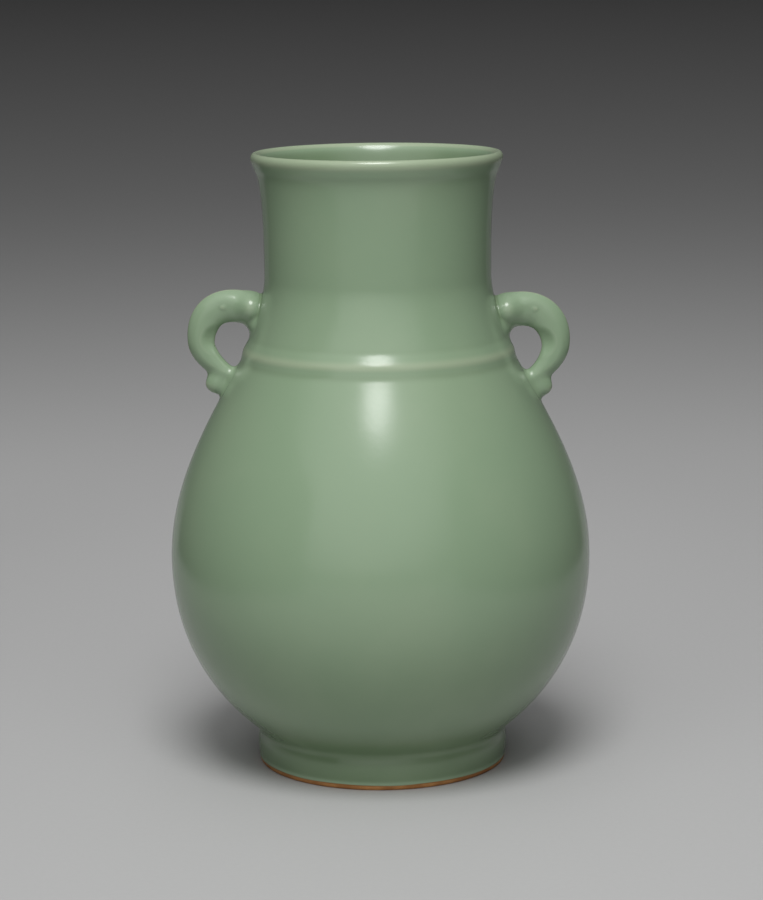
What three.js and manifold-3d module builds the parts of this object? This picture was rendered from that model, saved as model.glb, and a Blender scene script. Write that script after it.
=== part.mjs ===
// Hu vase: a pear-shaped celadon stoneware vase with two trunk-shaped handles and a rib at the shoulder.
// Millimetres, +Z up. The origin is the centre of the plane that the foot rests on, the handles lie
// along X and the front faces -Y. The vase is thrown in sections that are luted together with slip,
// so each section, each pressed handle and each band of slip is a solid of its own.
import * as THREE from 'three';
import { mergeVertices } from 'three/addons/utils/BufferGeometryUtils.js';
import Module from 'manifold-3d';

// Heights, stacked from the resting plane up to the crest of the lip
const RIM_HEIGHT = 2.4;
const FOOT_SWELL_HEIGHT = 6;
const FOOT_HEIGHT = 18;
const BELLY_RISE = 92;
const SHOULDER_RISE = 96;
const THROAT_RISE = 50;
const MOUTH_RISE = 55;
const LIP_HEIGHT = 9;

// Outer radii at those heights; the foot swells out from its rim and tucks in again under the belly
const RIM_RADIUS = 65;
const FOOT_SWELL = 1.4;
const FOOT_TUCK = 1;
const BELLY_RADIUS = 109.4;
const SHOULDER_RADIUS = 75;
const WAIST_RADIUS = 58.5;
const MOUTH_FLARE = 4.3;

// Lean of the wall away from upright, outwards positive, in degrees
const BELLY_LEAN = 53;
const SHOULDER_LEAN = -29;
const MOUTH_LEAN = 34;

// Fullness of each stretch of the wall: how far its two ends keep their lean, as shares of its chord
const LOWER_FULLNESS = [0.38, 0.36];
const UPPER_FULLNESS = [0.38, 0.235];
const THROAT_FULLNESS = [0.155, 0.266];
const MOUTH_FULLNESS = [0.3, 0.14];

// Wall, floor and foot thicknesses
const BELLY_WALL = 6;
const NECK_WALL = 5;
const FLOOR_THICKNESS = 9;
const FOOT_WALL = 8;
const RECESS_DEPTH = 12;
const RIM_ROUND = 1.6;

// Lip: an oval roll, a little proud of the neck below it, that ends in a bevel on the inside
const LIP_ROLL_HALF_WIDTH = 4.1;
const LIP_ROLL_HALF_HEIGHT = 5;
const LIP_OVERHANG = 1.5;
const LIP_ROLL_TURN = [-38, 120];

// Raised rib round the shoulder
const RIB_ABOVE_SHOULDER = 13;
const RIB_HEIGHT = 6;
const RIB_RISE = 1;

// Slip: bands smoothed over the inner seams, and pads under the ends of the handles
const SEAM_BAND_HEIGHT = 8;
const SEAM_BAND_EDGE = 0.4;
const SEAM_BAND_RISE = 1;
const PAD_THICKNESS = 0.8;
const PAD_SPREAD = 1.6;
const SEAT_GAP = 0.3;

// Handles: heights above the shoulder, reach from the neck wall and sections along the trunk
const ROOT_ABOVE_SHOULDER = 32;
const BEND_ABOVE_SHOULDER = 16.7;
const END_ABOVE_SHOULDER = -1.5;
const HANDLE_REACH = 29.5;
const CROWN_PULL = 15.7;
const CROWN_LIFT = 8;
const BEND_PULLS = [15, 4.1];
const END_PULL = 7.5;
const END_LEAN = 64;
const ROOT_HALF_DEPTH = 8.6;
const END_HALF_DEPTH = 3.8;
const ROOT_HALF_WIDTH = 7.6;
const END_HALF_WIDTH = 4.6;
const DEPTH_TAPER = 2.5;
const WIDTH_TAPER = 1;
const CHEEK_SIZE = [6.5, 8.4, 8.8];
const CHEEK_OUT = 2.6;
const CHEEK_LIFT = 1.4;
const CURL_SIZE = [5.4, 4.8, 6];
const CURL_OUT = 5.2;
const CURL_BELOW_END = 5.1;
const HANDLE_SINK = 6;
const RIGHT_HANDLE_DROP = 3;

// Facets round the axis, along each outline, and on the handles
const SEGMENTS = 48;
const OUTSIDE_STEPS = 12;
const INSIDE_STEPS = 10;
const RIM_STEPS = 4;
const FOOT_STEPS = 6;
const RIB_STEPS = 6;
const LIP_STEPS = 10;
const SEAM_STEPS = 4;
const CUTTER_STEPS = 24;
const TRUNK_SIDES = 14;
const TRUNK_STEPS = 20;
const BALL_SIDES = 16;
const BALL_RINGS = 10;
const BISECTIONS = 40;

// Heights that several pieces share
const bellyZ = FOOT_HEIGHT + BELLY_RISE;
const shoulderZ = bellyZ + SHOULDER_RISE;
const waistZ = shoulderZ + THROAT_RISE;
const lipZ = waistZ + MOUTH_RISE;
const ribLow = shoulderZ + RIB_ABOVE_SHOULDER - RIB_HEIGHT / 2;
const ribHigh = ribLow + RIB_HEIGHT;

const point = (radius, z) => new THREE.Vector2(radius, z);
const wasm = await Module();
wasm.setup();

// One stretch of the outer wall between two points, leaving and arriving at the given leans
function stretch(start, startLean, fullness, end, endLean) {
  const chord = start.distanceTo(end);
  const along = (lean, share) => {
    const angle = THREE.MathUtils.degToRad(lean);
    return point(Math.sin(angle), Math.cos(angle)).multiplyScalar(share * chord);
  };
  const leave = start.clone().add(along(startLean, fullness[0]));
  const arrive = end.clone().sub(along(endLean, fullness[1]));
  return new THREE.CubicBezierCurve(start, leave, arrive, end);
}

const footJoint = point(RIM_RADIUS - FOOT_TUCK, FOOT_HEIGHT);
const belly = point(BELLY_RADIUS, bellyZ);
const shoulder = point(SHOULDER_RADIUS, shoulderZ);
const waist = point(WAIST_RADIUS, waistZ);
const mouth = point(WAIST_RADIUS + MOUTH_FLARE, lipZ);
const wallStretches = [
  stretch(footJoint, BELLY_LEAN, LOWER_FULLNESS, belly, 0),
  stretch(belly, 0, UPPER_FULLNESS, shoulder, SHOULDER_LEAN),
  stretch(shoulder, SHOULDER_LEAN, THROAT_FULLNESS, waist, 0),
  stretch(waist, 0, MOUTH_FULLNESS, mouth, MOUTH_LEAN),
];

// The outer wall at one height: its radius, and the cosine of its lean
function wallAt(z) {
  const curve = wallStretches.find((candidate) => z <= candidate.v3.y) ?? wallStretches.at(-1);
  let low = 0;
  let high = 1;
  for (let step = 0; step < BISECTIONS; step += 1) {
    const middle = (low + high) / 2;
    if (curve.getPoint(middle).y < z) {
      low = middle;
    } else {
      high = middle;
    }
  }
  return { radius: curve.getPoint(low).x, upright: curve.getTangent(low).y };
}

const outerRadius = (z) => wallAt(z).radius;

// The wall thins from the belly to the neck across the rib
function innerRadius(z) {
  const wall = wallAt(z);
  const thickness = THREE.MathUtils.lerp(
    BELLY_WALL,
    NECK_WALL,
    THREE.MathUtils.smoothstep(z, ribLow, ribHigh),
  );
  return wall.radius - thickness / wall.upright;
}

// The rib swells out of the wall as half a wave
function ribRadius(z) {
  const share = THREE.MathUtils.clamp((z - ribLow) / RIB_HEIGHT, 0, 1);
  return outerRadius(z) + RIB_RISE * Math.sin(Math.PI * share);
}

// Evenly spaced heights from low to high
function heights(low, high, steps) {
  return Array.from({ length: steps + 1 }, (unused, step) => THREE.MathUtils.lerp(low, high, step / steps));
}

const trace = (radiusAt, levels) => levels.map((z) => point(radiusAt(z), z));

// A ring or bowl turned about Z from its outline: up the outside and down the inside
function turned(outline) {
  return new THREE.LatheGeometry(outline, SEGMENTS).rotateX(Math.PI / 2);
}

function turnedRing(outside, inside) {
  return turned([...outside, ...inside, outside[0]]);
}

// Closed geometry to a solid that can be joined and cut, and back again
function toSolid(geometry) {
  const bare = geometry.clone();
  bare.deleteAttribute('normal');
  bare.deleteAttribute('uv');
  const merged = mergeVertices(bare);
  return new wasm.Manifold(new wasm.Mesh({
    numProp: 3,
    vertProperties: merged.attributes.position.array,
    triVerts: Uint32Array.from(merged.index.array),
  }));
}

function toGeometry(solid) {
  const { vertProperties, triVerts } = solid.getMesh();
  const geometry = new THREE.BufferGeometry();
  geometry.setAttribute('position', new THREE.BufferAttribute(vertProperties, 3));
  geometry.setIndex(new THREE.BufferAttribute(triVerts, 1));
  geometry.computeVertexNormals();
  return geometry;
}

// Everything within a given distance of the wall, or inside it, from the belly up to the mouth
function wallSolid(offset) {
  const levels = [
    ...heights(bellyZ, ribLow, CUTTER_STEPS),
    ...heights(ribLow, ribHigh, RIB_STEPS).slice(1),
    ...heights(ribHigh, lipZ, CUTTER_STEPS).slice(1),
  ];
  const skin = levels.map((z) => point(ribRadius(z) + offset / wallAt(z).upright, z));
  return toSolid(turned([point(0, bellyZ), ...skin, point(0, lipZ)]));
}

const GLAZE = { color: 0x8ba487, roughness: 0.28, metalness: 0 };
const INNER_GLAZE = { color: 0x849b80, roughness: 0.32, metalness: 0 };
const BARE_RIM = { color: 0x8a5a30, roughness: 0.85, metalness: 0 };

function piece(name, geometry, finish) {
  const mesh = new THREE.Mesh(geometry, new THREE.MeshStandardMaterial(finish));
  mesh.name = name;
  return mesh;
}

// Foot: the bare rim that was wiped clean of glaze, and the turned ring above it
const footInner = RIM_RADIUS - FOOT_WALL;
const rimEdge = new THREE.QuadraticBezierCurve(
  point(RIM_RADIUS - RIM_ROUND, 0),
  point(RIM_RADIUS, 0),
  point(RIM_RADIUS, RIM_HEIGHT),
);
const footRim = turnedRing(
  rimEdge.getPoints(RIM_STEPS),
  [point(footInner, RIM_HEIGHT), point(footInner, RIM_ROUND), point(footInner + RIM_ROUND, 0)],
);
const footCurve = new THREE.QuadraticBezierCurve(
  point(RIM_RADIUS, RIM_HEIGHT),
  point(RIM_RADIUS + FOOT_SWELL, FOOT_SWELL_HEIGHT),
  footJoint,
);
const footRing = turnedRing(
  footCurve.getPoints(FOOT_STEPS),
  [point(footInner, FOOT_HEIGHT), point(footInner, RIM_HEIGHT)],
);

// Belly: a thrown bowl whose floor drops into the foot ring, and the dome luted on top of it
const floorZ = RECESS_DEPTH + FLOOR_THICKNESS;
const lowerBowl = turned([
  point(0, RECESS_DEPTH),
  point(footInner - SEAT_GAP, RECESS_DEPTH),
  point(footInner - SEAT_GAP, FOOT_HEIGHT),
  ...trace(outerRadius, heights(FOOT_HEIGHT, bellyZ, OUTSIDE_STEPS)),
  ...trace(innerRadius, heights(floorZ, bellyZ, INSIDE_STEPS)).reverse(),
  point(0, floorZ),
]);
const upperBelly = turnedRing(
  trace(outerRadius, heights(bellyZ, ribLow, OUTSIDE_STEPS)),
  trace(innerRadius, heights(bellyZ, ribLow, INSIDE_STEPS)).reverse(),
);

// Shoulder rib, neck and lip
const shoulderRib = turnedRing(
  trace(ribRadius, heights(ribLow, ribHigh, RIB_STEPS)),
  trace(innerRadius, [ribHigh, ribLow]),
);
const neck = turnedRing(
  trace(outerRadius, heights(ribHigh, lipZ, OUTSIDE_STEPS)),
  trace(innerRadius, heights(ribHigh, lipZ, INSIDE_STEPS)).reverse(),
);
const lipRoll = new THREE.EllipseCurve(
  mouth.x + LIP_OVERHANG - LIP_ROLL_HALF_WIDTH,
  lipZ + LIP_HEIGHT - LIP_ROLL_HALF_HEIGHT,
  LIP_ROLL_HALF_WIDTH,
  LIP_ROLL_HALF_HEIGHT,
  ...LIP_ROLL_TURN.map(THREE.MathUtils.degToRad),
);
const lip = turnedRing([mouth, ...lipRoll.getPoints(LIP_STEPS)], [point(innerRadius(lipZ), lipZ)]);

// A band of slip smoothed over a seam on the inside of the wall
function seamBand(seamZ) {
  const levels = heights(seamZ - SEAM_BAND_HEIGHT / 2, seamZ + SEAM_BAND_HEIGHT / 2, SEAM_STEPS);
  const seat = (z) => innerRadius(z) - SEAT_GAP;
  const face = (z) => {
    const share = (z - levels[0]) / SEAM_BAND_HEIGHT;
    return seat(z) - SEAM_BAND_EDGE - SEAM_BAND_RISE * Math.sin(Math.PI * share);
  };
  return turnedRing(trace(seat, levels), trace(face, [...levels].reverse()));
}

// An egg-shaped lump of clay with the given half sizes
function lump(halfSizes, centre) {
  return new THREE.SphereGeometry(1, BALL_SIDES, BALL_RINGS).scale(...halfSizes).translate(...centre);
}

// A bar bent along a path in the XZ plane, with an oval section that tapers from root to end
function bentBar(path) {
  const bar = new THREE.CylinderGeometry(1, 1, 1, TRUNK_SIDES, TRUNK_STEPS);
  const places = bar.attributes.position;
  const local = new THREE.Vector3();
  for (let index = 0; index < places.count; index += 1) {
    local.fromBufferAttribute(places, index);
    const share = THREE.MathUtils.clamp(local.y + 0.5, 0, 1);
    const centre = path.getPointAt(share);
    const tangent = path.getTangentAt(share);
    const depth = local.x * THREE.MathUtils.lerp(ROOT_HALF_DEPTH, END_HALF_DEPTH, share ** DEPTH_TAPER);
    const width = local.z * THREE.MathUtils.lerp(ROOT_HALF_WIDTH, END_HALF_WIDTH, share ** WIDTH_TAPER);
    places.setXYZ(index, centre.x - tangent.z * depth, width, centre.z + tangent.x * depth);
  }
  return bar;
}

// One handle on the +X side, dropped by the given amount: head at the neck, trunk, curled tip
function handleSolids(drop) {
  const rootZ = shoulderZ + ROOT_ABOVE_SHOULDER - drop;
  const bendZ = shoulderZ + BEND_ABOVE_SHOULDER - drop;
  const endZ = shoulderZ + END_ABOVE_SHOULDER - drop;
  const rootWall = outerRadius(rootZ);
  const endWall = outerRadius(endZ);
  const bendX = rootWall + HANDLE_REACH;
  const place = (x, z) => new THREE.Vector3(x, 0, z);
  const endAngle = THREE.MathUtils.degToRad(END_LEAN);
  const inwards = place(-Math.sin(endAngle), -Math.cos(endAngle));
  const end = place(endWall, endZ);
  const bend = place(bendX, bendZ);
  const path = new THREE.CurvePath();
  path.add(new THREE.LineCurve3(place(rootWall - HANDLE_SINK, rootZ), place(rootWall, rootZ)));
  path.add(new THREE.CubicBezierCurve3(
    place(rootWall, rootZ),
    place(rootWall + CROWN_PULL, rootZ + CROWN_LIFT),
    place(bendX, bendZ + BEND_PULLS[0]),
    bend,
  ));
  path.add(new THREE.CubicBezierCurve3(
    bend,
    place(bendX, bendZ - BEND_PULLS[1]),
    end.clone().addScaledVector(inwards, -END_PULL),
    end,
  ));
  path.add(new THREE.LineCurve3(end, end.clone().addScaledVector(inwards, HANDLE_SINK)));

  const cheekPlace = [rootWall + CHEEK_OUT, 0, rootZ + CHEEK_LIFT];
  const curlZ = endZ - CURL_BELOW_END;
  const curlPlace = [outerRadius(curlZ) + CURL_OUT, 0, curlZ];
  const clay = toSolid(bentBar(path))
    .add(toSolid(lump(CHEEK_SIZE, cheekPlace)))
    .add(toSolid(lump(CURL_SIZE, curlPlace)));
  const padTop = SEAT_GAP + PAD_THICKNESS;
  const padShell = wallSolid(padTop).subtract(wallSolid(SEAT_GAP));
  const spread = (halfSizes) => halfSizes.map((half) => half + PAD_SPREAD);
  const upperPad = toSolid(lump(spread(CHEEK_SIZE), cheekPlace)).intersect(padShell);
  const lowerLump = lump(
    spread([CURL_OUT + CURL_SIZE[0], CURL_SIZE[1], END_HALF_DEPTH + CURL_SIZE[2]]),
    [endWall, 0, (endZ + curlZ) / 2],
  );
  return {
    handle: clay.subtract(wallSolid(padTop + SEAT_GAP)),
    upper_slip: upperPad,
    lower_slip: toSolid(lowerLump).intersect(padShell),
  };
}

function handleSide(side, drop, turn) {
  const group = new THREE.Group();
  for (const [kind, solid] of Object.entries(handleSolids(drop))) {
    group.add(piece(`${side}_${kind}`, toGeometry(solid), GLAZE));
  }
  group.rotation.z = turn;
  return group;
}

const vase = new THREE.Group();
vase.add(
  piece('foot_rim', footRim, BARE_RIM),
  piece('foot_ring', footRing, GLAZE),
  piece('lower_bowl', lowerBowl, GLAZE),
  piece('upper_belly', upperBelly, GLAZE),
  piece('shoulder_rib', shoulderRib, GLAZE),
  piece('neck', neck, GLAZE),
  piece('lip', lip, GLAZE),
  piece('belly_seam_slip', seamBand(bellyZ), INNER_GLAZE),
  piece('neck_seam_slip', seamBand((ribLow + ribHigh) / 2), INNER_GLAZE),
  handleSide('left', 0, Math.PI),
  handleSide('right', RIGHT_HANDLE_DROP, 0),
);

export default vase;
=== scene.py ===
# Hu vase in green celadon stoneware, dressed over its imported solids.
# Metres, +Z up: the foot rests on z = 0, the handles lie along X and the front faces -Y.
import math

import bpy
import numpy as np
from mathutils import Matrix, Vector


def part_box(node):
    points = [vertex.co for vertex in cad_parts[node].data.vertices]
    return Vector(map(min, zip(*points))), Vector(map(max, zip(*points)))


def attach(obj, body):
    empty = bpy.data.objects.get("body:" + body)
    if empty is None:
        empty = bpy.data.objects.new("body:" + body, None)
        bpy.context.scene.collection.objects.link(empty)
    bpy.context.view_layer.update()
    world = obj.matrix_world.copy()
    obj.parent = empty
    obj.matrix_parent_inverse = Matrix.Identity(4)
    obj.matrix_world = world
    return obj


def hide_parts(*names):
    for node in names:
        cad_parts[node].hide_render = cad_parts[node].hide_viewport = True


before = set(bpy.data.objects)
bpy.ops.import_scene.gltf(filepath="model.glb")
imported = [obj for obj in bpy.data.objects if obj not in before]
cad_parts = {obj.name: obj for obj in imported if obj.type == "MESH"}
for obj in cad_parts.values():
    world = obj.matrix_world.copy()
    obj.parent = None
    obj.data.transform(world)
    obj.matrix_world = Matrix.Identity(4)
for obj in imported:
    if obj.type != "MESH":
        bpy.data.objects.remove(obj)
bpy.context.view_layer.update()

# Foot rim
# The edge that the vase stands on, turned from the same stoneware as the foot. The potter wipes it clean of
# glaze and brushes it with an iron wash, which fires to a dry, slightly gritty brown.
SIDES = 240
FOOT_WALL = 0.008
RIM_ROUND = 0.0016
RIM_STEPS = 14
ON_AXIS = 1e-6
rim_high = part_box("foot_rim")[1]
rim_radius = rim_high.x
rim_height = rim_high.z
foot_inner = rim_radius - FOOT_WALL


def curve(points, steps):
    """Points on a Bezier curve of any degree: each control point weighted by its Bernstein polynomial."""
    degree = len(points) - 1
    t = np.linspace(0, 1, steps + 1)[:, None]
    weights = [math.comb(degree, k) * t**k * (1 - t) ** (degree - k) for k in range(degree + 1)]
    return sum(weight * np.array(point) for weight, point in zip(weights, points))


def facing(line):
    """Normals of a line of (radius, height) rows: its tangent turned a quarter to the right, so that a line
    drawn up the outside and down the inside faces away from the clay."""
    tangent = np.gradient(np.asarray(line, float), axis=0, edge_order=2)
    normal = np.stack([tangent[:, 1], -tangent[:, 0]], 1)
    return normal / np.linalg.norm(normal, axis=1, keepdims=True)


def finished_mesh(name, places, faces, normals, **fields):
    """One object at the origin from places, faces and smooth normals, with a float field for each name."""
    mesh = bpy.data.meshes.new(name)
    mesh.from_pydata(places.tolist(), [], faces, shade_flat=False)
    for field, values in fields.items():
        mesh.attributes.new(field, "FLOAT", "POINT").data.foreach_set("value", values.astype(np.float32))
    mesh.normals_split_custom_set_from_vertices(normals.tolist())
    piece = bpy.data.objects.new(name, mesh)
    bpy.context.scene.collection.objects.link(piece)
    return piece


def fan(pole, ring):
    """Triangles from one pole vertex to each side of a closed ring of vertices."""
    return np.stack([np.full(len(ring), pole), ring, np.roll(ring, -1)], 1).tolist()


def turned_piece(name, line, normals, thin):
    """Turns a line of (radius, height) rows about Z: x = r cos a, y = r sin a, z = h. The line runs up the
    outside and down the inside. A line that starts and ends on the axis gets a pole at both ends, any other
    line is joined to its start."""
    line = np.asarray(line, float)
    on_axis = line[:, 0] < ON_AXIS
    rows = ~on_axis
    angle = np.arange(SIDES) * (2 * np.pi / SIDES)
    around = np.stack([np.cos(angle), np.sin(angle)], 1)

    def swept(pairs):
        """Each row's (out, up) pair carried round the axis."""
        flat = pairs[rows, 0][:, None, None] * around
        upright = np.broadcast_to(pairs[rows, 1][:, None, None], flat.shape[:2] + (1,))
        return np.concatenate([flat, upright], 2).reshape(-1, 3)

    index = np.arange(rows.sum() * SIDES).reshape(-1, SIDES)
    ends_on_axis = bool(on_axis.any())
    below = index[:-1] if ends_on_axis else index
    above = index[1:] if ends_on_axis else np.roll(index, -1, 0)
    corners = [below, np.roll(below, -1, 1), np.roll(above, -1, 1), above]
    faces = np.stack(corners, -1).reshape(-1, 4).tolist()
    places, fronts = swept(line), swept(normals)
    amounts = np.repeat(thin[rows], SIDES)
    if ends_on_axis:
        first, last = index.size, index.size + 1
        faces += fan(first, index[0][::-1]) + fan(last, index[-1])
        places = np.vstack([places, [0, 0, line[0, 1]], [0, 0, line[-1, 1]]])
        fronts = np.vstack([fronts, [0, 0, -1], [0, 0, 1]])
        amounts = np.concatenate([amounts, thin[[0, -1]]])
    return finished_mesh(name, places, faces, fronts, glaze_thin=amounts)


class Shade:
    """A shader value that takes part in Python sums: each operator adds one Math node."""

    def __init__(self, finish, socket):
        self.finish = finish
        self.socket = socket

    def sum_node(self, operation, left, right):
        """One Math node with left and right in its sockets."""
        return self.finish.node("ShaderNodeMath", {"operation": operation}, {0: left, 1: right})

    def __add__(self, other):
        return self.sum_node("ADD", self, other)

    def __radd__(self, other):
        return self.sum_node("ADD", other, self)

    def __sub__(self, other):
        return self.sum_node("SUBTRACT", self, other)

    def __rsub__(self, other):
        return self.sum_node("SUBTRACT", other, self)

    def __mul__(self, other):
        return self.sum_node("MULTIPLY", self, other)

    def __rmul__(self, other):
        return self.sum_node("MULTIPLY", other, self)

    def __pow__(self, other):
        return self.sum_node("POWER", self, other)

    def __rpow__(self, other):
        return self.sum_node("POWER", other, self)


class Finish:
    """The nodes of a material or world. Its node method takes a node's type, settings and sockets."""

    def __init__(self, owner):
        self.owner = owner
        self.owner.use_nodes = True
        self.tree = self.owner.node_tree
        self.tree.nodes.clear()

    def node(self, kind, settings=None, sockets=None, output=0):
        """One node: its settings come first, then each socket gets its value or link. Gives one output."""
        made = self.tree.nodes.new(kind)
        for setting, value in (settings or {}).items():
            setattr(made, setting, value)
        for socket, value in (sockets or {}).items():
            if isinstance(value, Shade):
                self.tree.links.new(value.socket, made.inputs[socket])
            else:
                made.inputs[socket].default_value = value
        return Shade(self, made.outputs[output]) if made.outputs else None

    def noise(self, place, scale, detail=2.0):
        """Soft noise from 0 to 1 with about `scale` lumps in a metre."""
        return self.node("ShaderNodeTexNoise", None, {"Vector": place, "Scale": scale, "Detail": detail})

    def step(self, value, low, high):
        """0 below low, 1 above high, and a smooth rise between them."""
        sockets = {"Value": value, "From Min": low, "From Max": high}
        return self.node("ShaderNodeMapRange", {"interpolation_type": "SMOOTHSTEP"}, sockets)

    def mixed(self, share, first, second):
        """First colour where share is 0, second where it is 1."""
        settings = {"data_type": "RGBA", "clamp_factor": True}
        return self.node("ShaderNodeMix", settings, {0: share, 6: first, 7: second}, output=2)

    def surface(self, sockets):
        """Ends the material in a Principled surface with the given sockets."""
        shader = self.node("ShaderNodeBsdfPrincipled", None, sockets)
        self.node("ShaderNodeOutputMaterial", None, {"Surface": shader})
        return self.owner


def seen_colour(red, green, blue):
    """Linear colour with full alpha from display levels of 0 to 255, each through the display curve."""
    shares = np.array([red, green, blue]) / 255
    linear = np.where(shares <= 0.04045, shares / 12.92, ((shares + 0.055) / 1.055) ** 2.4)
    return (*linear.tolist(), 1.0)


WASH_DARK = seen_colour(142, 94, 48)
WASH_LIGHT = seen_colour(172, 122, 70)
WASH_GRAIN = seen_colour(196, 154, 104)
WASH_ROUGHNESS = 0.72
GRAIN_ROUGHNESS = 0.2
PATCHES_PER_METRE = 90
PATCH_RANGE = (0.35, 0.7)
GRAINS_PER_METRE = 2400
GRAIN_RANGE = (0.62, 0.75)
GRAIN_SHARE = 0.35
GRIT_STRENGTH = 0.5
GRIT_HEIGHT = 0.0003


def iron_wash():
    """Dry brown clay with darker and lighter patches of wash, and pale sand grains that stand up in it."""
    finish = Finish(bpy.data.materials.new("iron_wash"))
    place = finish.node("ShaderNodeTexCoord", output="Object")
    patches = finish.noise(place, PATCHES_PER_METRE, detail=4)
    grains = finish.noise(place, GRAINS_PER_METRE)
    colour = finish.mixed(finish.step(patches, *PATCH_RANGE), WASH_DARK, WASH_LIGHT)
    colour = finish.mixed(finish.step(grains, *GRAIN_RANGE) * GRAIN_SHARE, colour, WASH_GRAIN)
    relief = {"Strength": GRIT_STRENGTH, "Distance": GRIT_HEIGHT, "Height": grains + patches}
    bump = finish.node("ShaderNodeBump", None, relief)
    roughness = WASH_ROUGHNESS + GRAIN_ROUGHNESS * grains
    return finish.surface({"Base Color": colour, "Roughness": roughness, "Normal": bump})


bare_rim = iron_wash()
rim_line = np.vstack([
    curve([(rim_radius - RIM_ROUND, 0), (rim_radius, 0), (rim_radius, rim_height)], RIM_STEPS),
    curve([(foot_inner, rim_height), (foot_inner, 0), (foot_inner + RIM_ROUND, 0)], RIM_STEPS),
])
rim_normals = np.vstack([facing(half) for half in np.split(rim_line, 2)])
foot_rim = turned_piece("foot_rim_bare", rim_line, rim_normals, np.zeros(len(rim_line)))
foot_rim.data.materials.append(bare_rim)
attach(foot_rim, "root")
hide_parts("foot_rim")

# Thrown sections: foot ring, lower bowl, upper belly, shoulder rib, neck and lip
# Stoneware thrown on the wheel and luted together with slip. One celadon glaze runs over all of them, up
# the outside, over the lip and down the inside: thin and pale on edges, thick and dark where it pools,
# darker towards the foot and low on the belly, and darkened inside just below the lip as painted shade.

# The foot ring's swelling and collar, then the wall's joints, its leans there and how full it is
FOOT_SWELL = 0.0009
FOOT_SWELL_HEIGHT = 0.007
COLLAR_SWELL = 0.0015
COLLAR_DROP = 0.0026
FOOT_TUCK = 0.0012
BELLY_LEAN = 53
LOWER_FULLNESS = (0.38, 0.36)
UPPER_FULLNESS = (0.371, 0.275)
SHOULDER_RISE = 0.104
SHOULDER_RADIUS = 0.0709
SHOULDER_LEAN = -28
THROAT_LEAN = -21.8
THROAT_FULLNESS = (0.176, 0.294)
WAIST_RISE = 0.042
WAIST_RADIUS = 0.0585
MOUTH_RADIUS = 0.0628
MOUTH_LEAN = 34
MOUTH_FULLNESS = (0.3, 0.14)
# The rib's rise, its heights from the lower edge of its node, and how thin the glaze is on it
RIB_RISE = 0.0011
RIB_FOOT_DROP = 0.0034
RIB_CREST = 0.0024
RIB_END = 0.0088
RIB_THIN = 0.45
RIB_THIN_RISE = 0.0029
RIB_THIN_SPREAD = 0.0032
# How much darker the glaze is on the foot and low on the belly, and the painted shade inside below the lip
FOOT_DARKENING = 0.42
FOOT_DARKENING_SPAN = (0.018, 0.040)
BELLY_DARKENING = 0.52
BELLY_DARKENING_SPAN = (0.050, 0.140)
INSIDE_PAINTED_SHADE = 0.75
INSIDE_SHADE_DEPTH = 0.0035
# The lip's roll, its rounded inner edge and the bevel under it
LIP_ROLL = (0.0025, 0.0031)
LIP_FLARE = 0.0005
LIP_ROLL_START = -20
LIP_INNER_ROUND = (0.0021, 0.0015)
LIP_INNER_PULL = 0.0010
LIP_BEVEL = (0.0014, 0.0018)
BEVEL_DEPTH = 0.012
# The wall, the floor and the recess under it
BELLY_WALL = 0.006
NECK_WALL = 0.005
LEAST_UPRIGHT = 0.3
RECESS_DEPTH = 0.012
FLOOR_HEIGHT = 0.021
SEAT_GAP = 0.0001
UNDERSIDE_ROWS = 12
# Spacing of the drawn line and of the rows that are kept from it
LINE_SPACING = 0.0004
OUTSIDE_SPACING = 0.0008
INSIDE_SPACING = 0.0024
STRETCH_STEPS = 400
BELL_REACH = 4
TINY = 1e-9
# How softly glaze rounds the corners, the bead where it stops, and how it thins over an edge
CORNER_SOFTNESS = 0.0008
FOOT_SOFTNESS = 0.0022
FOOT_SOFT_BELOW = (0.026, 0.040)
GLAZE_BEAD = 0.00015
GLAZE_BEAD_RISE = 0.0007
GLAZE_FLOW = 0.0016
GLAZE_EDGE_CURVE = 170.0
foot_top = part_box("foot_ring")[1].z
belly_radius, belly_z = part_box("lower_bowl")[1].x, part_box("lower_bowl")[1].z
rib_low, rib_high = (corner.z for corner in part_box("shoulder_rib"))
mouth_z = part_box("neck")[1].z
lip_radius, lip_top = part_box("lip")[1].x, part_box("lip")[1].z
shoulder_z = belly_z + SHOULDER_RISE
waist_z = shoulder_z + WAIST_RISE


def stretch(start, start_lean, fullness, end, end_lean):
    """Cubic curve of wall from start to end in (radius, height). It keeps the lean from upright that it
    leaves and arrives with, in degrees, for the given shares of its chord."""
    start, end = np.array(start), np.array(end)
    leans = np.radians([start_lean, end_lean])
    leave, arrive = np.stack([np.sin(leans), np.cos(leans)], 1) * np.linalg.norm(end - start)
    return curve([start, start + fullness[0] * leave, end - fullness[1] * arrive, end], STRETCH_STEPS)


def evenly(line, spacing):
    """The same line with points at even distances along it."""
    along = np.concatenate([[0], np.cumsum(np.linalg.norm(np.diff(line, axis=0), axis=1))])
    keep = np.concatenate([[True], np.diff(along) > 0])
    places = np.linspace(0, along[-1], int(along[-1] / spacing) + 1)
    return np.stack([np.interp(places, along[keep], line[keep, axis]) for axis in range(line.shape[1])], 1)


def softened(values, softness):
    """Values along the line, averaged with bell-shaped weights over about the given length."""
    reach = int(BELL_REACH * softness / LINE_SPACING)
    bell = np.exp(-0.5 * (np.arange(-reach, reach + 1) * LINE_SPACING / softness) ** 2)
    padded = np.pad(values, reach, mode="reflect", reflect_type="odd")
    return np.convolve(padded, bell / bell.sum(), mode="valid")


def smooth(value):
    """Rise from 0 to 1 with level ends."""
    value = np.clip(value, 0, 1)
    return value * value * (3 - 2 * value)


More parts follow.
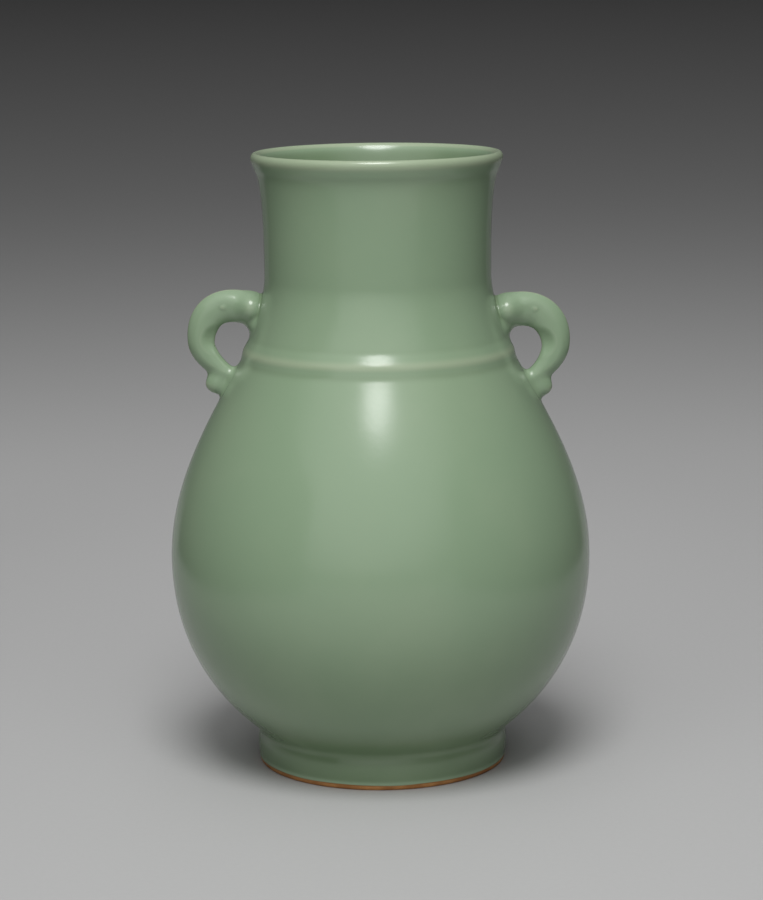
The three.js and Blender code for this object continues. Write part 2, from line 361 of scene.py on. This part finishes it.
foot_joint = (rim_radius - FOOT_TUCK, foot_top)
foot_swell = (rim_radius + FOOT_SWELL, FOOT_SWELL_HEIGHT)
foot_collar = (rim_radius + COLLAR_SWELL, foot_top - COLLAR_DROP)
foot_line = curve([(rim_radius, rim_height), foot_swell, foot_collar, foot_joint], STRETCH_STEPS)
belly, shoulder = (belly_radius, belly_z), (SHOULDER_RADIUS, shoulder_z)
waist, mouth = (WAIST_RADIUS, waist_z), (MOUTH_RADIUS, mouth_z)
wall = np.vstack([
    stretch(foot_joint, BELLY_LEAN, LOWER_FULLNESS, belly, 0),
    stretch(belly, 0, UPPER_FULLNESS, shoulder, SHOULDER_LEAN),
    stretch(shoulder, THROAT_LEAN, THROAT_FULLNESS, waist, 0),
    stretch(waist, 0, MOUTH_FULLNESS, mouth, MOUTH_LEAN),
])

# The rib is a low ridge that rises to its crest and falls away into the neck
rib_levels = rib_low + np.array([-RIB_FOOT_DROP, RIB_CREST, RIB_END])
outside = wall + np.outer(np.interp(wall[:, 1], rib_levels, [0, RIB_RISE, 0]), [1, 0])
roll_turn = np.linspace(math.radians(LIP_ROLL_START), np.pi / 2, STRETCH_STEPS)[:, None]
roll_centre = np.array([lip_radius + LIP_FLARE, lip_top]) - LIP_ROLL
lip_roll = roll_centre + LIP_ROLL * np.hstack([np.cos(roll_turn), np.sin(roll_turn)])

# The inside follows the outside at the wall's thickness, up to the bevel under the lip
across_rib = smooth((wall[:, 1] - rib_low) / (rib_high - rib_low))
upright = np.gradient(wall[:, 1]) / np.linalg.norm(np.gradient(wall, axis=0), axis=1).clip(TINY)
thickness = BELLY_WALL + (NECK_WALL - BELLY_WALL) * across_rib
inside = (wall - np.outer(thickness / upright.clip(LEAST_UPRIGHT), [1, 0]))[::-1]
inside = inside[(inside[:, 1] > FLOOR_HEIGHT) & (inside[:, 1] < lip_top - BEVEL_DEPTH)]
lip_edge = lip_roll[-1] - LIP_INNER_ROUND
lip_inside = np.vstack([
    curve([lip_roll[-1], lip_roll[-1] - (LIP_INNER_PULL, 0), lip_edge], STRETCH_STEPS),
    curve([lip_edge, lip_edge - LIP_BEVEL, inside[0]], STRETCH_STEPS),
])
floor_line = [(inside[-1, 0], FLOOR_HEIGHT), (0, FLOOR_HEIGHT)]
drawn_line = evenly(np.vstack([foot_line, outside, lip_roll, lip_inside, inside, floor_line]), LINE_SPACING)
crisp_line, soft_line = (
    np.stack([softened(drawn_line[:, axis], softness) for axis in (0, 1)], 1)
    for softness in (CORNER_SOFTNESS, FOOT_SOFTNESS)
)
crispness = smooth((drawn_line[:, 1] - FOOT_SOFT_BELOW[0]) / (FOOT_SOFT_BELOW[1] - FOOT_SOFT_BELOW[0]))
glaze_line = soft_line + crispness[:, None] * (crisp_line - soft_line)
above_edge = (glaze_line[:, 1] - rim_height) / GLAZE_BEAD_RISE
glaze_line[:, 0] += GLAZE_BEAD * np.exp(-((above_edge - 1) ** 2))
glaze_normals = facing(glaze_line)
bend = np.gradient(np.unwrap(np.arctan2(glaze_normals[:, 1], glaze_normals[:, 0]))) / LINE_SPACING
crest = int(np.argmax(glaze_line[:, 1]))
height = glaze_line[:, 1]
# The glaze grows darker towards the foot and low on the belly
foot_darkening = FOOT_DARKENING * (1 - smooth((height - FOOT_DARKENING_SPAN[0]) / np.diff(FOOT_DARKENING_SPAN)))
belly_darkening = BELLY_DARKENING * (1 - smooth((height - BELLY_DARKENING_SPAN[0]) / np.diff(BELLY_DARKENING_SPAN)))
rib_thinning = RIB_THIN * np.exp(-(((height - rib_low - RIB_THIN_RISE) / RIB_THIN_SPREAD) ** 2))
# Painted shade inside: the glaze is darkened just below the lip and all the way down
inside_painted_shade = INSIDE_PAINTED_SHADE * smooth((lip_top - height) / INSIDE_SHADE_DEPTH)
outward_side = np.arange(len(glaze_line)) < crest
# The thinness: above zero the glaze is thin and pale; below zero it is darker, from pooling in hollows,
# from the darkening low on the vase and from the painted shade inside below the lip
glaze_thin = softened(bend, GLAZE_FLOW) / GLAZE_EDGE_CURVE
glaze_thin += np.where(outward_side, rib_thinning - foot_darkening - belly_darkening, -inside_painted_shade)
glaze_thin = np.clip(glaze_thin, -1, 1)


def outer_row(height):
    """Number of the glaze line's row at a height on the outside."""
    return int(np.argmin(np.abs(glaze_line[:crest, 1] - height)))


def inner_row(height):
    """Number of the glaze line's row at a height on the inside."""
    return crest + int(np.argmin(np.abs(glaze_line[crest:, 1] - height)))


def picked(first, last, spacing):
    """Row numbers from first to last, both among them, about the given distance apart."""
    count = max(2, round((last - first) * LINE_SPACING / spacing) + 1)
    return np.linspace(first, last, count).round().astype(int)


GLAZE_BODY = seen_colour(132, 154, 126)
# Darker glaze where it pools, also used for the darkening low on the vase and for the painted shade inside
GLAZE_POOLED_AND_SHADED = seen_colour(106, 127, 97)
GLAZE_THINNED = seen_colour(150, 165, 138)
GLAZE_ROUGHNESS = 0.17
CLOUD_ROUGHNESS = 0.06
GLAZE_IOR = 1.5
POOLED_AND_SHADED_RANGE = (0.03, 0.9)
THINNED_RANGE = (0.12, 1.0)
CLOUDS_PER_METRE = 16
CLOUD_RANGE = (0.4, 0.75)
CLOUD_SHARE = 0.2
PEEL_PER_METRE = 420
PEEL_SHARE = 0.25
SWELLS_PER_METRE = 45
RELIEF_STRENGTH = 0.2
RELIEF_HEIGHT = 0.0004
EDGE_WAVES_PER_METRE = 30
EDGE_WAVE = 0.0012
EDGE_RISE = (0.0006, 0.0012)


def celadon(name, body, pooled_and_shaded, thinned):
    """Celadon glaze: its body colour, darker where it pools, low on the vase and where painted shade is put
    in, paler where it thins, with slow clouding, faint orange peel and throwing swells in its surface, and
    a wavy brown edge above the bare rim."""
    finish = Finish(bpy.data.materials.new(name))
    place = finish.node("ShaderNodeTexCoord", output="Object")
    thin = finish.node("ShaderNodeAttribute", {"attribute_name": "glaze_thin"}, output="Fac")
    height = finish.node("ShaderNodeSeparateXYZ", None, {"Vector": place}, output="Z")
    clouds = finish.noise(place, CLOUDS_PER_METRE, detail=3)
    peel = finish.noise(place, PEEL_PER_METRE, detail=1)
    swells = finish.noise(place, SWELLS_PER_METRE, detail=1)
    waves = finish.noise(place, EDGE_WAVES_PER_METRE, detail=1)
    # Below zero the thinness darkens the glaze: pooling, darkening low on the vase, and painted shade
    # inside
    colour = finish.mixed(finish.step(thin * -1, *POOLED_AND_SHADED_RANGE), body, pooled_and_shaded)
    colour = finish.mixed(finish.step(thin, *THINNED_RANGE), colour, thinned)
    colour = finish.mixed(finish.step(clouds, *CLOUD_RANGE) * CLOUD_SHARE, colour, thinned)
    edge_low, edge_high = (rim_height + rise for rise in EDGE_RISE)
    edge = finish.step(height + EDGE_WAVE * waves, edge_low, edge_high)
    colour = finish.mixed(edge, WASH_DARK, colour)
    relief = {"Strength": RELIEF_STRENGTH, "Distance": RELIEF_HEIGHT, "Height": PEEL_SHARE * peel + swells}
    bump = finish.node("ShaderNodeBump", None, relief)
    roughness = GLAZE_ROUGHNESS + CLOUD_ROUGHNESS * clouds
    return finish.surface({"Base Color": colour, "Roughness": roughness, "IOR": GLAZE_IOR, "Normal": bump})


celadon_glaze = celadon("celadon_glaze", GLAZE_BODY, GLAZE_POOLED_AND_SHADED, GLAZE_THINNED)


def glazed(piece, node):
    """Gives a piece the outer glaze and sets it in the frame in place of its node."""
    piece.data.materials.append(celadon_glaze)
    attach(piece, "root")
    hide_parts(node)


def thrown_section(node, line, normals, thin):
    """A glazed ring or bowl that stands for one node."""
    glazed(turned_piece(node + "_glazed", line, normals, thin), node)


def glazed_rows(rows):
    """The glaze line at the given rows: its points, normals and thinness."""
    return glaze_line[rows], glaze_normals[rows], glaze_thin[rows]


# The foot ring's inner face is straight, and the bowl's floor closes it from above
outer, outer_facing, outer_thin = glazed_rows(picked(0, outer_row(foot_top), OUTSIDE_SPACING))
ring_inside = [(foot_inner, outer[-1, 1]), (foot_inner, rim_height)]
thrown_section(
    "foot_ring",
    np.vstack([outer, ring_inside]),
    np.vstack([outer_facing, [(-1, 0), (-1, 0)]]),
    np.append(outer_thin, [0, 0]),
)

# The bowl is a spigot that drops into the foot ring, the belly's wall, and a floor glazed on both sides
outer_rows = picked(outer_row(foot_top), outer_row(belly_z), OUTSIDE_SPACING)
inner_rows = picked(inner_row(belly_z), len(glaze_line) - 1, INSIDE_SPACING)
outer, outer_facing, outer_thin = glazed_rows(outer_rows)
inner, inner_facing, inner_thin = glazed_rows(inner_rows)
inner[-1, 0] = 0
spigot = foot_inner - SEAT_GAP
recess = np.stack([np.linspace(0, spigot, UNDERSIDE_ROWS), np.full(UNDERSIDE_ROWS, RECESS_DEPTH)], 1)
underside = np.vstack([recess, (spigot, outer[0, 1])])
thrown_section(
    "lower_bowl",
    np.vstack([underside, outer, inner]),
    np.vstack([[(0, -1)] * len(underside), outer_facing, inner_facing]),
    np.concatenate([np.zeros(len(underside)), outer_thin, inner_thin]),
)

# The other sections are open rings, cut from the glaze line between two heights
for node, low, high in (
    ("upper_belly", belly_z, rib_low),
    ("shoulder_rib", rib_low, rib_high),
    ("neck", rib_high, mouth_z),
):
    outer_rows = picked(outer_row(low), outer_row(high), OUTSIDE_SPACING)
    inner_rows = picked(inner_row(high), inner_row(low), INSIDE_SPACING)
    thrown_section(node, *glazed_rows(np.concatenate([outer_rows, inner_rows])))

thrown_section("lip", *glazed_rows(picked(outer_row(mouth_z), inner_row(mouth_z), LINE_SPACING)))

# Seam slips
# Two bands of slip that the potter smooths by hand over the joints of the sections, on the inside of the
# wall. They are glazed with the rest and stand a little proud of it.
BAND_RISE = 0.001
BAND_SINK = 0.0006
BAND_SPACING = 0.0008
BAND_EDGE_POWER = 8
INNER_BODY = seen_colour(122, 146, 118)
inner_glaze = celadon("inner_glaze", INNER_BODY, GLAZE_POOLED_AND_SHADED, GLAZE_THINNED)
for node in ("belly_seam_slip", "neck_seam_slip"):
    band_low, band_high = (corner.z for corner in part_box(node))
    rows = picked(inner_row(band_high), inner_row(band_low), BAND_SPACING)
    line, normals, thin = glazed_rows(rows)
    swell = np.sin(np.pi * np.linspace(0, 1, len(rows)))[:, None]
    face = line + normals * (BAND_RISE * swell**2 - BAND_SINK * (1 - swell) ** BAND_EDGE_POWER)
    back = (line - normals * 2 * BAND_SINK)[::-1]
    band = turned_piece(
        node + "_smoothed",
        np.vstack([face, back]),
        np.vstack([facing(face), -normals[::-1]]),
        np.concatenate([thin, thin]),
    )
    band.data.materials.append(inner_glaze)
    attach(band, "root")
    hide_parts(node)

# Handles and their slip
# Two handles pressed in moulds as an animal's head with a long trunk. Each is luted to the neck by its head
# and to the shoulder by its trunk, whose tip curls out; slip smoothed round both ends makes the fillets.

# What differs between the two handles, which are luted on by hand
LEFT_HANDLE = {
    "drop": 0,
    "root_lift": 0,
    "head_half_depth": 0.0087,
    "reach": 0.0298,
    "crown_pull": 0.0200,
    "curl_out": 0.0050,
}
RIGHT_HANDLE = {
    "drop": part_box("left_handle")[1].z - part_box("right_handle")[1].z,
    "root_lift": 0.0006,
    "head_half_depth": 0.0092,
    "reach": 0.0290,
    "crown_pull": 0.0174,
    "curl_out": 0.0034,
}
# The bar's centre line from the neck over its bend to the shoulder, with heights from the shoulder
ROOT_RISE = 0.0240
BEND_RISE = 0.0087
END_RISE = -0.0091
CROWN_SLOPE = 0.42
BEND_PULLS = (0.0158, 0.0062)
END_PULL = 0.0095
END_LEAN = 69
BURIED = 0.008
# The bar's section, thick at the head and slim at the tip, with a roof-like outer side
END_HALF_DEPTH = 0.0036
DEPTH_TAPER = 2.7
ROOT_HALF_WIDTH = 0.0084
END_HALF_WIDTH = 0.0044
WIDTH_RUN = 0.022
ROOF_LEAN = math.radians(50)
ROOF_RISE = 0.0008
ROOF_BLEND = 0.0020
# Cheek, curled tip, eyes and dents, each with its place and the blend that joins it to the bar
CHEEK_HALF = (0.0074, 0.0102, 0.0078)
CHEEK_PLACE = (0.0036, 0.0022)
CHEEK_BLEND = 0.0030
CURL_HALF = (0.0066, 0.0044, 0.0054)
CURL_DROP = 0.0043
CURL_BLEND = 0.0050
EYE_HALF = (0.0014, 0.0006, 0.0009)
EYE_PLACE = (0.0176, 0.0040, 0.0028)
EYE_BLEND = 0.0012
DENT_HALF = (0.0060, 0.0040, 0.0056)
DENT_PLACE = (-0.0084, 0.0056, 0.0012)
DENT_TILT = 24
DENT_BLEND = 0.0034
# Fillets of slip against the wall
CROWN_FILLET = 0.0018
UNDER_FILLET = 0.0080
END_FILLET = 0.0042
# Rows and columns of the mesh, and how its ends settle on the wall and sink into it
ROOT_ROWS = 26
ROOT_ROW_START = 0.06
ROOT_ROW_CROWDING = 2
TIP_ROWS = 72
TIP_ROW_START = 0.02
TIP_ROW_CROWDING = 1.5
TIP_REACH = 0.0108
SLIP_ROWS = 10
ROW_SPACING = 0.0005
AROUND = 120
SETTLE = 0.009
SETTLE_PASSES = 2
EDGE_SINK = 0.0008
CAP_SINK = 0.003
# Steps that find the skin, its normals and its bend, and the bends at which glaze thins and pools
RAY_REACH = 0.024
HALVINGS = 22
NORMAL_STEP = 0.0004
BEND_STEP = 0.0006
FLAT_BEND = 110.0
PALE_BEND = 420.0
POOL_BEND = 900.0
wall_rows = glaze_line[:crest]
wall_radial = glaze_normals[:crest, 0]


def wall_radius(height):
    """Outer radius of the glazed wall at a height."""
    return np.interp(height, wall_rows[:, 1], wall_rows[:, 0])


def off_wall(place):
    """Distance of places from the wall: how far they are beyond its radius, times the radial share of the
    wall's normal."""
    height = place[..., 2]
    beyond = np.hypot(place[..., 0], place[..., 1]) - wall_radius(height)
    return beyond * np.interp(height, wall_rows[:, 1], wall_radial)


def joined(first, second, fillet):
    """The lower of two distances, less a parabola where they differ by under the fillet, so that two forms
    flow together."""
    nearness = np.clip(1 - np.abs(first - second) / fillet, 0, 1)
    return np.minimum(first, second) - fillet / 4 * nearness**2


def egg(place, half):
    """Distance of a place from an egg about the origin with half sizes along the axes. With k the length of
    place / half, that is (k - 1) over the length of the slope of k."""
    scaled = place / np.array(half)
    length = np.linalg.norm(scaled, axis=-1).clip(TINY)
    return (length - 1) * length / np.linalg.norm(scaled / np.array(half), axis=-1).clip(TINY)


def handle_form(drop, root_lift, head_half_depth, reach, crown_pull, curl_out):
    """One handle on the +X side: a function that gives the distance of places from its clay and the wall,
    flowed together, and the centre line of its bar in (radius, height). The handle is lowered by drop and
    lifted again at the neck by root_lift. Its bend stands out from the neck by reach, crown_pull is the
    pull on the curve of its crown, and its tip curls out from the wall by curl_out."""
    rises = (ROOT_RISE + root_lift, BEND_RISE, END_RISE)
    root_z, bend_z, end_z = (shoulder_z + rise - drop for rise in rises)
    root = np.array([wall_radius(root_z), root_z])
    outward = np.array([1, CROWN_SLOPE]) / math.hypot(1, CROWN_SLOPE)
    turn = np.array([root[0] + reach, bend_z])
    end = np.array([wall_radius(end_z), end_z])
    inward = -np.array([math.sin(math.radians(END_LEAN)), math.cos(math.radians(END_LEAN))])
    centre_line = evenly(np.vstack([
        curve([root, root + crown_pull * outward, turn + (0, BEND_PULLS[0]), turn], STRETCH_STEPS),
        curve([turn, turn - (0, BEND_PULLS[1]), end - END_PULL * inward, end], STRETCH_STEPS),
    ]), LINE_SPACING)

    buried_root, buried_end = root - BURIED * outward, end + BURIED * inward
    bar_line = evenly(np.vstack([buried_root, centre_line, buried_end]), LINE_SPACING)
    heading = np.gradient(bar_line, axis=0) / LINE_SPACING
    bar_length = (len(bar_line) - 1) * LINE_SPACING
    shown_length = bar_length - 2 * BURIED
    lean, level = math.sin(math.radians(DENT_TILT)), math.cos(math.radians(DENT_TILT))
    tilted = np.array([[level, 0, lean], [0, 1, 0], [-lean, 0, level]])
    cheek = (root[0] + CHEEK_PLACE[0], 0, root_z + CHEEK_PLACE[1])
    curl = (wall_radius(end_z - CURL_DROP) + curl_out, 0, end_z - CURL_DROP)
    eye = np.array([root[0], 0, root_z]) + EYE_PLACE
    dent = np.array([turn[0], 0, turn[1]]) + DENT_PLACE

    def outside_by(place):
        """Across its centre line the bar is an ellipse cut by two planes like a roof. Cheek, curled tip and
        eyes are joined to it, the dents are taken away, and the wall is joined on."""
        flat = place[..., ::2].reshape(-1, 2)
        nearest = np.argmin((bar_line**2).sum(1) - 2 * flat @ bar_line.T, axis=1)
        apart = flat - bar_line[nearest]
        across = apart[:, 1] * heading[nearest, 0] - apart[:, 0] * heading[nearest, 1]
        run = nearest * LINE_SPACING + (apart * heading[nearest]).sum(1) - BURIED
        run = np.clip(run, 0, shown_length)
        depth = head_half_depth + (END_HALF_DEPTH - head_half_depth) * (run / shown_length) ** DEPTH_TAPER
        width = ROOT_HALF_WIDTH + (END_HALF_WIDTH - ROOT_HALF_WIDTH) * smooth(run / WIDTH_RUN)
        aside = np.abs(place[..., 1].ravel())
        bar = egg(np.stack([across, aside], 1), np.stack([depth, width], 1))
        roof = math.sin(ROOF_LEAN) * (across - depth - ROOF_RISE) + math.cos(ROOF_LEAN) * aside
        clay = -joined(-bar, -roof, ROOF_BLEND).reshape(place.shape[:-1])
        clay = joined(clay, egg(place - cheek, CHEEK_HALF), CHEEK_BLEND)
        clay = joined(clay, egg(place - curl, CURL_HALF), CURL_BLEND)
        either_side = place * (1, 0, 1) + np.abs(place) * (0, 1, 0)
        clay = joined(clay, egg(either_side - eye, EYE_HALF), EYE_BLEND)
        clay = -joined(-clay, egg((either_side - dent) @ tilted.T, DENT_HALF), DENT_BLEND)
        under = smooth((root_z - place[..., 2]) / head_half_depth)
        root_fillet = CROWN_FILLET + (UNDER_FILLET - CROWN_FILLET) * under
        return joined(clay, off_wall(place), np.where(place[..., 2] > bend_z, root_fillet, END_FILLET))

    return outside_by, centre_line


def handle_skin(outside_by, centre_line):
    """Grid of places on a handle: rows run from the neck to the shoulder and columns go round. From each
    place on the centre line, rays go out across it and are cut where they leave the clay. Near the wall
    they bend to lie along it. Returns the grid, and for both ends the way into the wall and the centre."""
    length = (len(centre_line) - 1) * LINE_SPACING
    root_rows = UNDER_FILLET * np.linspace(ROOT_ROW_START, 1, ROOT_ROWS) ** ROOT_ROW_CROWDING
    tip_rows = TIP_REACH * np.linspace(TIP_ROW_START, 1, TIP_ROWS) ** TIP_ROW_CROWDING
    middle_rows = np.arange(UNDER_FILLET + ROW_SPACING, length - TIP_REACH - ROW_SPACING / 2, ROW_SPACING)
    along = np.concatenate([root_rows, middle_rows, length - tip_rows[::-1]])
    at = np.arange(len(centre_line)) * LINE_SPACING
    tangents = np.gradient(centre_line, axis=0) / LINE_SPACING
    x, z, run, climb = (np.interp(along, at, of[:, k]) for of in (centre_line, tangents) for k in (0, 1))
    still = np.zeros(len(along))
    centre = np.stack([x, still, z], 1)[:, None]
    forward = np.stack([run, still, climb], 1)[:, None]
    across = np.stack([-climb, still, run], 1)[:, None]
    angle = np.arange(AROUND) * (2 * np.pi / AROUND)
    ray = np.cos(angle)[None, :, None] * across + np.sin(angle)[None, :, None] * np.array([0, 1, 0])

    at_root = along < length / 2
    from_wall = np.where(at_root, along, length - along)
    into_wall = np.where(at_root, -1, 1)[:, None, None] * forward
    settle = 1 - smooth((from_wall - np.where(at_root, UNDER_FILLET, TIP_REACH)) / SETTLE)

    def place_at(reach):
        """Places along the rays, moved along the bar until they are as far off the wall as their row is."""
        place = centre + reach[..., None] * ray
        for _ in range(SETTLE_PASSES):
            gap = off_wall(place) - from_wall[:, None]
            place = place + (settle[:, None] * gap)[..., None] * into_wall
        return place

    near, far = np.zeros(ray.shape[:2]), np.full(ray.shape[:2], RAY_REACH)
    for _ in range(HALVINGS):
        halfway = (near + far) / 2
        beyond = outside_by(place_at(halfway)) > 0
        near, far = np.where(beyond, near, halfway), np.where(beyond, halfway, far)
    return place_at((near + far) / 2), into_wall[[0, -1], 0], centre[[0, -1], 0]


def distances_beside(outside_by, grid, step):
    """Distances one step before and after the grid's places along each axis, stacked in that order."""
    return np.stack([[outside_by(grid + sign * step * axis) for axis in np.eye(3)] for sign in (-1, 1)])


def closed_tube(name, grid, normals, thin, poles):
    """A tube from a grid that closes round its columns, shut at both ends by fans to the two poles."""
    rows, columns = grid.shape[:2]
    index = np.arange(rows * columns).reshape(rows, columns)
    here, there = index[:-1], index[1:]
    quads = np.stack([here, there, np.roll(there, -1, 1), np.roll(here, -1, 1)], -1).reshape(-1, 4)
    first, last = index.size, index.size + 1
    faces = quads.tolist() + fan(first, index[0]) + fan(last, index[-1][::-1])
    ends = np.stack([poles[0] - poles[1], poles[1] - poles[0]])
    ends /= np.linalg.norm(ends, axis=1, keepdims=True)
    places = np.vstack([grid.reshape(-1, 3), poles])
    fronts = np.vstack([normals.reshape(-1, 3), ends])
    return finished_mesh(name, places, faces, fronts, glaze_thin=np.append(thin.ravel(), [0, 0]))


for side, turned_by, measures in (("left", -1, LEFT_HANDLE), ("right", 1, RIGHT_HANDLE)):
    about_axis = np.array([turned_by, turned_by, 1])
    outside_by, centre_line = handle_form(**measures)
    grid, into_wall, ends = handle_skin(outside_by, centre_line)
    before, after = distances_beside(outside_by, grid, NORMAL_STEP)
    normals = np.moveaxis(after - before, 0, -1)
    normals /= np.linalg.norm(normals, axis=-1, keepdims=True)
    bend = distances_beside(outside_by, grid, BEND_STEP).sum((0, 1)) / BEND_STEP**2
    thin = np.clip((bend - FLAT_BEND) / PALE_BEND, 0, 1) + np.clip(bend / POOL_BEND, -1, 0)
    sunk = [grid[[k]] + into_wall[k] * EDGE_SINK for k in (0, -1)]
    grid = np.concatenate([sunk[0], grid, sunk[1]]) * about_axis
    normals = np.concatenate([normals[:1], normals, normals[-1:]]) * about_axis
    thin = np.concatenate([thin[:1], thin, thin[-1:]])
    poles = (ends + into_wall * CAP_SINK) * about_axis
    cuts = (0, SLIP_ROWS, len(grid) - 1 - SLIP_ROWS, len(grid) - 1)
    shut = [poles[0], grid[cuts[1]].mean(0), grid[cuts[2]].mean(0), poles[1]]
    for k, part in enumerate(("upper_slip", "handle", "lower_slip")):
        rows = slice(cuts[k], cuts[k + 1] + 1)
        node = f"{side}_{part}"
        caps = np.stack(shut[k : k + 2])
        tube = closed_tube(node + "_glazed", grid[rows], normals[rows], thin[rows], caps)
        glazed(tube, node)

# Floor
# A plain pale studio table top, matt like paper, wide enough to reach out of every view. Its colour grows
# darker far away: painted shade of the light falling off with distance. It isn't part of the vase.
FLOOR_HALF = 40.0
FLOOR_PALE = seen_colour(182, 182, 182)
FLOOR_PAINTED_SHADE = seen_colour(0, 0, 0)
FADE_START = 0.95
FADE_SHARPNESS = 4
FADE_POWER = -0.175
PAPER_PER_METRE = 350
PAPER_SHARE = 0.03
TABLE_ROUGHNESS = 0.6
PAPER_ROUGHNESS = 0.1
floor_mesh = bpy.data.meshes.new("floor")
floor_corners = np.array([(-1, -1, 0), (1, -1, 0), (1, 1, 0), (-1, 1, 0)]) * FLOOR_HALF
floor_mesh.from_pydata(floor_corners.tolist(), [], [(0, 1, 2, 3)])
floor = bpy.data.objects.new("floor", floor_mesh)
bpy.context.scene.collection.objects.link(floor)
pale = Finish(bpy.data.materials.new("pale_table_painted_falloff"))
spot = pale.node("ShaderNodeTexCoord", output="Object")
paper = pale.noise(spot, PAPER_PER_METRE)
distance = pale.node("ShaderNodeVectorMath", {"operation": "LENGTH"}, {0: spot}, output="Value")
# Painted shade: the table's colour fades towards dark with distance from the vase, as the light would
light_left = (1 + (distance * (1 / FADE_START)) ** FADE_SHARPNESS) ** FADE_POWER
shade = pale.mixed(light_left - PAPER_SHARE * paper, FLOOR_PAINTED_SHADE, FLOOR_PALE)
matt = TABLE_ROUGHNESS + PAPER_ROUGHNESS * paper
floor_mesh.materials.append(pale.surface({"Base Color": shade, "Roughness": matt}))

# Side flags
# Two boards covered in dark cloth on either side of the vase, out of the picture, that show as dark edges
# in its glaze. The camera doesn't see them, they stop no lamp's light, and they aren't part of the vase.
FLAG_APART = 0.48
FLAG_RUN = (-0.6, 0.55)
FLAG_TOP = 0.55
BOARD_DARK = seen_colour(38, 38, 38)
BOARD_ROUGHNESS = 0.8
WEAVE_ROUGHNESS = 0.1
WEAVE_PER_METRE = 200
dark = Finish(bpy.data.materials.new("dark_board"))
weave = dark.noise(dark.node("ShaderNodeTexCoord", output="Object"), WEAVE_PER_METRE)
cloth = BOARD_ROUGHNESS + WEAVE_ROUGHNESS * weave
dark_board = dark.surface({"Base Color": BOARD_DARK, "Roughness": cloth})
near, far = FLAG_RUN
for side, x in (("left", -FLAG_APART), ("right", FLAG_APART)):
    flag_mesh = bpy.data.meshes.new(side + "_flag")
    corners = [(x, near, 0), (x, far, 0), (x, far, FLAG_TOP), (x, near, FLAG_TOP)]
    flag_mesh.from_pydata(corners, [], [(0, 1, 2, 3)])
    flag_mesh.materials.append(dark_board)
    flag = bpy.data.objects.new(side + "_flag", flag_mesh)
    flag.visible_camera = False
    flag.visible_shadow = False
    bpy.context.scene.collection.objects.link(flag)

# Studio light
# One large oval soft box in front and above, a weak fill behind that doesn't show in the glaze, and a grey
# surround that is brighter towards the front and above and fills the shadows.
BOX_PLACE = (-0.03, -1.185, 2.215)
LAMP_AIM = (0, -0.08, 0.20)
BOX_SIZE = (1.0, 1.2)
BOX_WATTS = 36.5
FILL_PLACE = (0.0, 1.5, 1.9)
FILL_SIZE = (1.6, 1.6)
FILL_WATTS = 3.5
SURROUND = 0.05
TOP_SURROUND = 0.5
TOP_SPAN = (0.7, 1.0)
FRONT_SURROUND = 1.1
FRONT_SPAN = (0.5, 1.0)
FRONT_RISE = math.radians(37)
FRONT_TURN = math.radians(-9)
for name, place, size, watts, shows in (
    ("soft_box", BOX_PLACE, BOX_SIZE, BOX_WATTS, True),
    ("back_fill", FILL_PLACE, FILL_SIZE, FILL_WATTS, False),
):
    bulb = bpy.data.lights.new(name, "AREA")
    bulb.shape = "ELLIPSE"
    bulb.size, bulb.size_y = size
    bulb.energy = watts
    lamp = bpy.data.objects.new(name, bulb)
    lamp.visible_glossy = shows
    back = np.array(place) - LAMP_AIM
    back /= np.linalg.norm(back)
    sideways = np.cross([0, 0, 1], back)
    sideways /= np.linalg.norm(sideways)
    turn = Matrix(np.stack([sideways, np.cross(back, sideways), back], 1).tolist())
    lamp.matrix_world = Matrix.Translation(place) @ turn.to_4x4()
    bpy.context.scene.collection.objects.link(lamp)
world = bpy.data.worlds.new("surround")
room = Finish(world)
way = room.node("ShaderNodeTexCoord", output="Generated")
front = Matrix.Rotation(FRONT_TURN, 3, "Z") @ Matrix.Rotation(-FRONT_RISE, 3, "X") @ Vector((0, -1, 0))
dot = {"operation": "DOT_PRODUCT"}
facing_front = room.node("ShaderNodeVectorMath", dot, {0: way, 1: front}, output="Value")
facing_up = room.node("ShaderNodeSeparateXYZ", None, {"Vector": way}, output="Z")
front_light = FRONT_SURROUND * room.step(facing_front, *FRONT_SPAN)
level = SURROUND + TOP_SURROUND * room.step(facing_up, *TOP_SPAN) + front_light
glow = room.node("ShaderNodeBackground", None, {"Color": (1.0, 1.0, 1.0, 1.0), "Strength": level})
room.node("ShaderNodeOutputWorld", None, {"Surface": glow})
bpy.context.scene.world = world
bpy.context.scene.view_settings.view_transform = "Standard"

# Camera
# A long lens a little above the vase, looking down at it and turned by half a degree.
CAMERA_PLACE = (0.0010, -1.405, 0.4232)
LOOKS_DOWN = math.radians(10.4325)
ROLL = math.radians(0.566)
FOCAL_PIXELS = 2739.2
FRAME_HEIGHT_PIXELS = 900
CLIP = (0.05, 50)
camera = bpy.data.objects.new("camera", bpy.data.cameras.new("camera"))
camera.data.lens = camera.data.sensor_width * FOCAL_PIXELS / FRAME_HEIGHT_PIXELS
camera.data.clip_start, camera.data.clip_end = CLIP
pitch = Matrix.Rotation(math.pi / 2 - LOOKS_DOWN, 4, "X")
camera.matrix_world = Matrix.Translation(CAMERA_PLACE) @ pitch @ Matrix.Rotation(-ROLL, 4, "Z")
bpy.context.scene.collection.objects.link(camera)
bpy.context.scene.camera = camera
